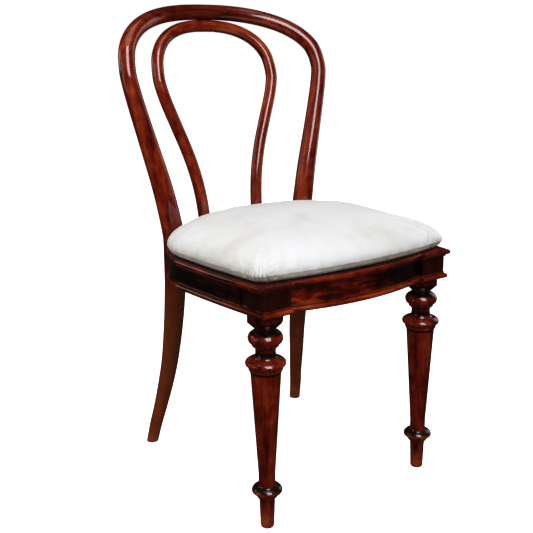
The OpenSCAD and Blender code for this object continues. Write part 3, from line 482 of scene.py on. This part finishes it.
def outer_rows():
    """Places and radii from the foot of the right rear leg up to the crown, and those of the crown's top."""
    frame_z = SEAT_H - FRAME_H
    rows = [(POST[0] + (HEEL_X - POST[0]) * out, POST[1] + HEEL_BACK * back, frame_z * up,
             HEEL_R + (POST_R - HEEL_R) * thick) for out, up, thick, back in LEG_SHARES]
    rows += [(*POST, z, POST_R) for z in (frame_z, FRIEZE_MID, SEAT_H)]
    for up, out, thin in SIDE_SHARES:
        x, z = POST[0] + (HOOP_X - POST[0]) * out, SEAT_H + SHOULDER_RISE * up
        rows.append((x, back_y(x, z), z, POST_R + (CROWN_R - POST_R) * thin))
    rows += crown_rows(HOOP_X, SEAT_H + SHOULDER_RISE, CROWN_Z, back_y, CROWN_R)
    return rows, (0, back_y(0, CROWN_Z), CROWN_Z, CROWN_R)


def inner_rows():
    """The same for the inner hoop, from its end on the frieze."""
    rows = [(*FOOT, z, INNER_R) for z in (BEAD_TOP, FRIEZE_MID, SEAT_H)]
    for up, out in INNER_SHARES:
        x, z = FOOT[0] + (INNER_X - FOOT[0]) * out, SEAT_H + INNER_RISE * up
        rows.append((x, inner_y(x, z), z, INNER_R))
    rows += crown_rows(INNER_X, SEAT_H + INNER_RISE, INNER_CROWN_Z, inner_y, INNER_R)
    return rows, (0, back_y(0, INNER_CROWN_Z), INNER_CROWN_Z, INNER_R)


def hoop_path(rows, top):
    """The whole hoop as a smooth run of places and radii, in metres."""
    rows = np.array([*rows, top, *[(-x, y, z, r) for x, y, z, r in rows[::-1]]], float)
    ends = np.concatenate([rows[:1], rows, rows[-1:]])
    path = []
    for a, b, c, d in zip(ends, ends[1:], ends[2:], ends[3:]):
        for t in np.arange(ROW_STEPS) / ROW_STEPS:
            path.append(b + (c - a) * t / 2 + (2 * a - 5 * b + 4 * c - d) * t ** 2 / 2
                        + (3 * b - a - 3 * c + d) * t ** 3 / 2)
    path = np.array([*path, rows[-1]])
    path[:, 1] -= ORIGIN_Y
    return path * MM


def bent_rod(name, path, sides):
    """Round rod along the path, cut level at its two ends."""
    count = len(path)
    points = []
    turns = [2 * math.pi * k / sides for k in range(sides)]
    for i in range(count):
        ahead = Vector(path[min(i + 1, count - 1), :3] - path[max(i - 1, 0), :3]).normalized()
        if i in (0, count - 1):
            ahead = Vector((0, 0, 1 if i == 0 else -1))
        u = (Vector((0, 1, 0)) - ahead * ahead.y).normalized()
        v = ahead.cross(u)
        middle, radius = Vector(path[i, :3]), float(path[i, 3])
        points += [middle + radius * (math.cos(t) * u + math.sin(t) * v) for t in turns]
    faces = ring_faces(count, sides)
    faces += [tuple(range(sides))[::-1], tuple((count - 1) * sides + k for k in range(sides))]
    mesh = bpy.data.meshes.new(name)
    mesh.from_pydata([tuple(p) for p in points], [], faces)
    for face in mesh.polygons:
        face.use_smooth = len(face.vertices) == 4
    return add_object(name, mesh)


# What is cut from the hoops: flats where they bear on the frame, and holes over bolt and screw heads

FLAT_SHARE, BOLT_SEAT_SHARE, HEAD_SINK_SHARE = 0.86, 0.82, 0.9
RAIL_T, OVERRUN = 22, 2
BOLT_HOLE_R, SCREW_HOLE_R = 7.3, 4.2
CROWN_SCREW_X = 22
FRAME_MID = SEAT_H - FRAME_H / 2
HOLE_SIDES = 48


def set_at(place, way):
    """Place in millimetres of the CAD's own frame, with Z along the way and Y upright where it can be."""
    x, y, z = place
    turn = way.to_track_quat("Z", "Y").to_matrix().to_4x4()
    return Matrix.Translation(Vector((x, y - ORIGIN_Y, z)) * MM) @ turn


def add_drill(tools, place, way, radius, length):
    """A cylinder that starts at the place and runs along the way."""
    middle = set_at(place, way) @ Matrix.Translation((0, 0, length * MM / 2))
    bmesh.ops.create_cone(tools, cap_ends=True, segments=HOLE_SIDES, radius1=radius * MM, radius2=radius * MM,
                          depth=length * MM, matrix=middle)


def add_block(tools, place, way, width, height, depth):
    """A block whose face lies at the place, behind it as seen along the way."""
    size = Matrix.Diagonal((width * MM, height * MM, depth * MM, 1))
    middle = set_at(place, way) @ Matrix.Translation((0, 0, -depth * MM / 2))
    bmesh.ops.create_cube(tools, size=1, matrix=middle @ size)


def end_cuts(tools, stands_at, ring, radius, seat_share, hole_r):
    """Flat and head hole of a post or an inner end, on both sides."""
    for side in (-1, 1):
        way = Vector((side * stands_at[0], stands_at[1] - BACK_ARC_Y, 0)).normalized()
        middle = Vector((0, BACK_ARC_Y, 0))
        flat = middle + way * (ring - FLAT_SHARE * radius)
        seat = middle + way * (ring + seat_share * radius)
        add_block(tools, (flat.x, flat.y, FRAME_MID), way, 2 * radius, FRAME_H + 2 * OVERRUN, RAIL_T)
        add_drill(tools, (seat.x, seat.y, FRIEZE_MID), way, hole_r, 2 * radius)


def crown_cuts(tools):
    """Head holes of the two screws that hold the inner hoop up to the crown."""
    y = back_y(CROWN_SCREW_X, INNER_CROWN_Z)
    z = INNER_CROWN_Z - HEAD_SINK_SHARE * INNER_R
    for side in (-1, 1):
        add_drill(tools, (side * CROWN_SCREW_X, y, z), Vector((0, 0, -1)), SCREW_HOLE_R, 2 * INNER_R)


def cut_away(rod, tools):
    mesh = bpy.data.meshes.new("tools")
    tools.to_mesh(mesh)
    tools.free()
    cutter = add_object("tools", mesh)
    cut = rod.modifiers.new("cut", "BOOLEAN")
    cut.operation = "DIFFERENCE"
    cut.solver = "EXACT"
    cut.object = cutter
    bpy.context.view_layer.objects.active = rod
    bpy.ops.object.modifier_apply(modifier="cut")
    bpy.data.objects.remove(cutter)


def outer_hoop():
    rod = bent_rod("outer_hoop_rod", hoop_path(*outer_rows()), OUTER_SIDES)
    tools = bmesh.new()
    end_cuts(tools, POST, POST_RING, POST_R, BOLT_SEAT_SHARE, BOLT_HOLE_R)
    cut_away(rod, tools)
    return rod


def inner_hoop():
    rod = bent_rod("inner_hoop_rod", hoop_path(*inner_rows()), INNER_SIDES)
    tools = bmesh.new()
    end_cuts(tools, FOOT, FOOT_RING, INNER_R, HEAD_SINK_SHARE, SCREW_HOLE_R)
    crown_cuts(tools)
    cut_away(rod, tools)
    return rod


for hoop, node in ((outer_hoop(), "outer_hoop"), (inner_hoop(), "inner_hoop")):
    hoop.data.materials.append(NODE_MATERIALS[node])
    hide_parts(node)
    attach(hoop, "chair")


# Cushion: a crowned squab, its outline and rings as in the CAD source

CUSHION_Z = 441.8 * MM
CUSHION_H = 66 * MM
CUSHION_MID = Vector((0, -42.428 * MM))
BOW_CENTRE, BOW_R = (0, 724.572 * MM), 990 * MM
FRONT_CENTRE, FRONT_R = (192.943 * MM, -226.045 * MM), 20 * MM
SIDE_CENTRE, SIDE_R = (-2073.18 * MM, 74.777 * MM), 2306 * MM
REAR_CENTRE, REAR_R = (126.227 * MM, -9.002 * MM), 105 * MM
RIM_CENTRE, RIM_R = (0, -165.187 * MM), 305.8 * MM
OUTLINE_ARCS = [
    (BOW_CENTRE, BOW_R, -90, -78.53), (FRONT_CENTRE, FRONT_R, -78.53, -7.56),
    (SIDE_CENTRE, SIDE_R, -7.56, -2.18), (REAR_CENTRE, REAR_R, -2.18, 51.06),
    (RIM_CENTRE, RIM_R, 51.06, 90)]
ARC_STEPS = [74, 40, 90, 46, 62]
# The section by shares of the height and of the outline. The rings are set between its points
SECTION = np.array([
    [0, 0.925], [0.03, 0.955], [0.09, 0.98], [0.18, 0.996], [0.28, 1], [0.40, 0.985], [0.52, 0.955],
    [0.64, 0.905], [0.75, 0.83], [0.85, 0.72], [0.925, 0.57], [0.97, 0.39], [0.993, 0.19], [1.0, 0.0]])
RING_COUNT = 76
RING_POWER = 1.5
SMOOTHINGS = 3
# About how far the outline lies from its middle
MEAN_REACH = 0.21


def cushion_outline():
    right = []
    for (centre, radius, a0, a1), steps in zip(OUTLINE_ARCS, ARC_STEPS):
        turns = np.radians(np.linspace(a0, a1, steps + 1)[:-1])
        right.append(np.stack([centre[0] + radius * np.cos(turns), centre[1] + radius * np.sin(turns)], 1))
    right = np.concatenate([*right, [[0, RIM_CENTRE[1] + RIM_R]]])
    left = right[-2:0:-1] * [-1, 1]
    return np.concatenate([right, left])


def cushion_rings():
    """Height and outline shares of the rings, which are closest together near the underside."""
    way = np.concatenate([[0], np.cumsum(np.hypot(
        np.diff(SECTION[:, 0]) * CUSHION_H, np.diff(SECTION[:, 1]) * MEAN_REACH))])
    spaced = (np.linspace(0, 1, RING_COUNT) ** RING_POWER) * way[-1]
    shares = np.stack([np.interp(spaced, way, SECTION[:, k]) for k in (0, 1)], 1)[:-1]
    for _ in range(SMOOTHINGS):
        shares[1:-1] = (shares[:-2] + 2 * shares[1:-1] + shares[2:]) / 4
    return shares


def cushion_points(outline):
    mid = np.array(CUSHION_MID)
    return np.array([
        np.column_stack([mid + share * (outline - mid), np.full(len(outline), CUSHION_Z + CUSHION_H * up)])
        for up, share in cushion_rings()])


def cushion_mesh(rings):
    count, sides = rings.shape[:2]
    points = [tuple(p) for ring in rings for p in ring]
    faces = ring_faces(count, sides)
    crown = len(points)
    points += [(*CUSHION_MID, CUSHION_Z + CUSHION_H), (*CUSHION_MID, CUSHION_Z)]
    last = (count - 1) * sides
    for k in range(sides):
        k2 = (k + 1) % sides
        faces += [(last + k, last + k2, crown), (k2, k, crown + 1)]
    mesh = bpy.data.meshes.new("squab")
    mesh.from_pydata(points, [], faces)
    mesh.update()
    for face in mesh.polygons:
        face.use_smooth = True
    return mesh


# Cloth simulation: of its result, a share of the broad swelling and a share of the finer buckles are used

START_SCALE = 0.985
VOXEL = 5.5 * MM
HELD_H = 5 * MM
CLOTH_FRAMES = 20
SWELL_CAP = 9 * MM
SWELL_SHARE = 0.10
BUCKLE_SHARE = 0.28
BROAD_WAVES = 7
RAYS_FROM = 0.3
LEAST_MOVE = 1e-9


def swollen(mesh):
    """Surface of the squab after its cloth is blown up: a slightly smaller copy swells and buckles."""
    copy = add_object("swollen", mesh.copy())
    low = Vector((*CUSHION_MID, CUSHION_Z))
    for point in copy.data.vertices:
        point.co = low + (point.co - low) * START_SCALE
    bpy.context.view_layer.objects.active = copy
    remesh = copy.modifiers.new("remesh", "REMESH")
    remesh.mode = "VOXEL"
    remesh.voxel_size = VOXEL
    bpy.ops.object.modifier_apply(modifier="remesh")
    start = np.array([point.co for point in copy.data.vertices])
    held = copy.vertex_groups.new(name="held")
    held.add([i for i, p in enumerate(start) if p[2] < CUSHION_Z + HELD_H], 1.0, "REPLACE")
    cloth = copy.modifiers.new("cloth", "CLOTH")
    cloth.settings.quality = 6
    cloth.settings.mass = 0.25
    cloth.settings.tension_stiffness = 18
    cloth.settings.compression_stiffness = 18
    cloth.settings.shear_stiffness = 6
    cloth.settings.bending_stiffness = 0.25
    cloth.settings.use_pressure = True
    cloth.settings.uniform_pressure_force = 4
    cloth.settings.effector_weights.gravity = 0
    cloth.settings.vertex_group_mass = "held"
    cloth.settings.shrink_min = -0.035
    cloth.collision_settings.use_collision = False
    for step in range(1, CLOTH_FRAMES + 1):
        scene.frame_set(step)
    shape = copy.evaluated_get(bpy.context.evaluated_depsgraph_get()).to_mesh()
    moved = np.array([point.co for point in shape.vertices]) - start
    far = np.linalg.norm(moved, axis=1, keepdims=True)
    points = start + moved * np.minimum(1, SWELL_CAP / np.maximum(far, LEAST_MOVE))
    surface = BVHTree.FromPolygons([tuple(p) for p in points], [tuple(f.vertices) for f in shape.polygons])
    scene.frame_set(1)
    bpy.data.objects.remove(copy)
    return surface


def drape_on(rings, surface):
    """Moves the ring points along rays from inside the squab towards the swollen surface. Only shares of the
    cloth's buckles and of its broad change of shape come over, so that the squab keeps its outline."""
    inside = Vector((*CUSHION_MID, CUSHION_Z + RAYS_FROM * CUSHION_H))
    moved = np.zeros(rings.shape)
    for index in np.ndindex(rings.shape[:2]):
        way = Vector(rings[index]) - inside
        hit = surface.ray_cast(inside, way.normalized())[0]
        if hit is not None:
            moved[index] = np.array(hit) - rings[index]
    waves = np.fft.rfft(moved, axis=1)
    waves[:, BROAD_WAVES:] = 0
    broad = np.fft.irfft(waves, n=rings.shape[1], axis=1)
    draped = rings + (moved - broad) * BUCKLE_SHARE + broad * SWELL_SHARE
    draped[0] = rings[0]
    draped[1:, :, 2] = np.maximum(draped[1:, :, 2], CUSHION_Z)
    return draped


# Details of the cloth: how far each moves the surface along its normals, in metres

SEAM_H = 14 * MM
FADE_H = 4 * MM
PLEAT_RATE = 9
LEAST_NORMAL = 1e-12
CORNER_TURN = math.radians(43)
CREASE_WAY = (math.cos(math.radians(38)), math.sin(math.radians(38)))
CREASE_MID, CREASE_REACH = 12 * MM, 34 * MM


def ring_normals(rings):
    side = np.roll(rings, -1, 1) - np.roll(rings, 1, 1)
    rise = np.gradient(rings, axis=0)
    normals = np.cross(side, rise)
    return normals / np.maximum(np.linalg.norm(normals, axis=2, keepdims=True), LEAST_NORMAL)


def bell(value, width):
    return np.exp(-(value / width) ** 2)


def noise_field(points, size, seed):
    shift = Vector((seed * 3.1, seed * 1.7, seed * 2.3))
    flat = points.reshape(-1, 3) / size
    values = [noise.noise(Vector(p) + shift) for p in flat]
    return np.array(values).reshape(points.shape[:2])


def seam(height):
    """A corded seam a little above the underside, with a shallow hollow under the cord."""
    cord = 1.0 * MM * bell(height - SEAM_H, 1.3 * MM)
    hollow = 0.7 * MM * bell(height - SEAM_H + 3 * MM, 1.6 * MM)
    return cord - hollow


def upright_wrinkles(girth, height):
    """Short upright wrinkles that rise from the seam, some higher than others."""
    line = np.stack([girth, height * 0.25, 0 * girth], 2)
    short = np.abs(noise_field(line, 0.0075, 3)) + 0.6 * np.abs(noise_field(line, 0.004, 4))
    reach = 14 * MM + 10 * MM * noise_field(np.stack([girth, 0 * girth, 0 * girth], 2), 0.02, 5)
    return 1.3 * MM * short * bell(np.maximum(height - SEAM_H, 0), np.maximum(reach, 4 * MM))


def pleats(rings, dx, dy, height, side):
    """Gathered pleats that fan out round a front corner."""
    turn = np.arctan2(dy, dx * side)
    near = bell(np.maximum(np.hypot(dx, dy) - FRONT_R, 0), 16 * MM)
    waves = np.abs(np.sin(turn * PLEAT_RATE + 0.8 * noise_field(rings, 0.02, 6 + side)))
    return 3.0 * MM * (1 - waves) ** 2 * near * bell(height - 14 * MM, 20 * MM)


def corner_point(dx, dy, height, side):
    """The corner itself pokes out a little, as cloth does where it is gathered."""
    off_diagonal = np.arctan2(dy, dx * side) + CORNER_TURN
    outer = np.clip(np.hypot(dx, dy) / FRONT_R - 0.4, 0, 1)
    return 3.2 * MM * bell(off_diagonal, 0.75) * outer * bell(height - 19 * MM, 15 * MM)


def slack_crease(x, y, side):
    """A slack crease that runs up and inwards from a front corner, with a low swelling beside it."""
    inwards, back = x * -side + FRONT_CENTRE[0], y - FRONT_CENTRE[1]
    along = inwards * CREASE_WAY[0] + back * CREASE_WAY[1]
    across = inwards * -CREASE_WAY[1] + back * CREASE_WAY[0]
    fades = bell(along - CREASE_MID, CREASE_REACH)
    return 1.4 * MM * fades * (bell(across, 4.5 * MM) - 0.5 * bell(across - 9 * MM, 6 * MM))


def cloth_details(rings, outline):
    """All details and a slight unevenness. Wrinkles, pleats and creases cut in, and fade at the underside."""
    x, y, z = (rings[:, :, k] for k in range(3))
    height = z - CUSHION_Z
    girth = np.cumsum(np.linalg.norm(np.diff(outline, axis=0, prepend=outline[:1]), axis=1))
    girth = np.broadcast_to(girth, x.shape)
    rising = np.minimum(1, height / FADE_H)
    depth = 0.8 * MM * noise_field(rings, 0.06, 1) + 0.3 * MM * noise_field(rings, 0.024, 2)
    depth = depth + seam(height) - upright_wrinkles(girth, height) * rising
    for side in (-1, 1):
        dx, dy = x - side * FRONT_CENTRE[0], y - FRONT_CENTRE[1]
        depth = depth - pleats(rings, dx, dy, height, side) * rising
        depth = depth + corner_point(dx, dy, height, side)
        depth = depth - slack_crease(x, y, side) * rising
    return depth


# Cotton

COTTON_STOPS = [(0.30, (0.432, 0.424, 0.403)), (0.46, (0.477, 0.475, 0.465)), (0.7, (0.495, 0.498, 0.500))]
# Beige of soiling and of painted shade, low on the squab
SOILED_AND_SHADED = (0.30, 0.245, 0.170)
# Painted shade of the cloth below the seam
UNDER_SEAM_SHADE = (0.27, 0.205, 0.140)
# Blender's wave bands repeat every 2 pi / 20 at scale 1. With this step they repeat every 3.9 mm
WEAVE_STEP = 0.62 * MM
WEAVE_SCALE = 1 / WEAVE_STEP / 20


def cotton():
    material, g = new_material("white_cotton")
    place = g.place()
    x, _, z = g.parts(place)
    colour = g.ramp(g.noise(place, 0.10, 3.0, 0.5, 0.3), COTTON_STOPS)
    # Soiled in patches near the seat, together with painted shade where the cloth curves under
    low = g.smooth(z, CUSHION_Z + 6 * MM, CUSHION_Z + 24 * MM, 1.0, 0.0)
    soiled_and_shaded = g.math("MULTIPLY", low, g.smooth(g.noise(place, 0.02, 4.0, 0.7), 0.35, 0.62, 0.35, 1.0))
    colour = g.mix(g.math("MULTIPLY", soiled_and_shaded, 0.65), colour, SOILED_AND_SHADED)
    # Below the seam, painted shade: the cloth there is painted beige, with fine upright lines of painted
    # pleat shade, strongest on its right side
    under = g.smooth(z, CUSHION_Z + SEAM_H - 1 * MM, CUSHION_Z + SEAM_H + 1 * MM, 1.0, 0.0)
    pleat_shade = g.smooth(g.noise(g.scaled(place, (1, 1, 0.15)), 0.005, 2.0, 0.5), 0.35, 0.65, 0.45, 0.9)
    seam_shade_share = g.math("MULTIPLY", under, g.smooth(x, -0.10, 0.08, 0.08, 0.85))
    colour = g.mix(g.math("MULTIPLY", seam_shade_share, pleat_shade), colour, UNDER_SEAM_SHADE)
    # A soft fuzz with faint bands of weave over it
    waves = [g.node("ShaderNodeTexWave", {"Vector": place, "Scale": WEAVE_SCALE, "Distortion": 0.4},
                    wave_type="BANDS", bands_direction=axis).outputs["Fac"] for axis in ("X", "Y", "Z")]
    weave = g.math("MULTIPLY", g.math("ADD", waves[0], waves[2]), g.math("ADD", waves[1], 0.3))
    soft = g.bump(g.noise(place, 0.004, 4.0, 0.7), 0.3, 1.0 * MM)
    relief = g.bump(weave, 0.25, 0.15 * MM, soft)
    g.finish({"Base Color": colour, "Normal": relief, "Roughness": 0.85,
              "Sheen Weight": 0.25, "Sheen Roughness": 0.5})
    return material


outline = cushion_outline()
rings = cushion_points(outline)
rings = drape_on(rings, swollen(cushion_mesh(rings)))
rings = rings + ring_normals(rings) * cloth_details(rings, outline)[:, :, None]
rings[0, :, 2] = CUSHION_Z
rings[:, :, 2] = np.maximum(rings[:, :, 2], CUSHION_Z)

squab = add_object("squab", cushion_mesh(rings))
squab.data.materials.append(cotton())
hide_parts("cushion")
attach(squab, "cushion")


# Stage: a plain pale floor, soft lights, and a surround that is white to the camera but dark in reflections

AIM = Vector((0, 0, 0.45))
COOL, WARM, SLIGHTLY_WARM = (0.92, 0.94, 1.0), (1.0, 0.97, 0.93), (1.0, 0.98, 0.95)


def stage_floor():
    half = 30.0
    corners = [(-half, -half, 0), (half, -half, 0), (half, half, 0), (-half, half, 0)]
    mesh = bpy.data.meshes.new("floor")
    mesh.from_pydata(corners, [], [(0, 1, 2, 3)])
    floor = add_object("floor", mesh)
    material, g = new_material("floor_paper")
    tone = g.noise(g.place(), 1.5, 2.0, 0.5)
    colour = g.ramp(tone, [(0.3, (0.86, 0.86, 0.86)), (0.7, (0.90, 0.90, 0.89))])
    g.finish({"Base Color": colour, "Roughness": 0.9,
              "Emission Color": (1, 1, 1, 1), "Emission Strength": 0.8})
    mesh.materials.append(material)
    floor.visible_glossy = False
    floor.visible_diffuse = False


def surround():
    world = bpy.data.worlds.new("surround")
    scene.world = world
    world.use_nodes = True
    g = Graph(world.node_tree)
    path = g.node("ShaderNodeLightPath").outputs
    seen = g.node("ShaderNodeBackground", {"Color": (1.0, 1.0, 1.0, 1), "Strength": 1.0}).outputs[0]
    soft = g.node("ShaderNodeBackground", {"Color": (1.0, 0.98, 0.94, 1), "Strength": 0.50}).outputs[0]
    dark = g.node("ShaderNodeBackground", {"Color": (1.0, 0.90, 0.78, 1), "Strength": 0.03}).outputs[0]
    unseen = g.node("ShaderNodeMixShader", {0: path["Is Glossy Ray"], 1: soft, 2: dark}).outputs[0]
    mixed = g.node("ShaderNodeMixShader", {0: path["Is Camera Ray"], 1: unseen, 2: seen}).outputs[0]
    output = g.node("ShaderNodeOutputWorld")
    g.tree.links.new(mixed, output.inputs[0])


def softbox(name, place, width, height, power, colour=(1, 1, 1), glossy=True):
    data = bpy.data.lights.new(name, "AREA")
    data.shape = "RECTANGLE"
    data.size = width
    data.size_y = height
    data.energy = power
    data.color = colour
    light = add_object(name, data)
    light.location = place
    light.rotation_mode = "QUATERNION"
    light.rotation_quaternion = (AIM - Vector(place)).to_track_quat("-Z", "Y")
    light.visible_glossy = glossy


def at(azimuth, elevation, distance):
    """A place round the chair: azimuth 0 is in front of it, 90 on its left as seen from the front."""
    a, e = math.radians(azimuth), math.radians(elevation)
    return AIM + distance * Vector((-math.sin(a) * math.cos(e), -math.cos(a) * math.cos(e), math.sin(e)))


stage_floor()
surround()
softbox("window_box", at(16, 45, 2.5), 1.25, 2.2, 76, COOL)
softbox("fill_panel", at(82, 35, 2.6), 1.8, 1.8, 20, SLIGHTLY_WARM, glossy=False)
softbox("rear_panel", at(138, 20, 2.4), 0.8, 0.9, 4, WARM)
softbox("left_panel", at(100, 12, 2.4), 1.2, 1.6, 7, WARM)
softbox("right_panel", at(-95, 12, 2.4), 1.2, 1.6, 7, WARM)
softbox("top_panel", at(0, 88, 2.2), 1.6, 1.6, 10)
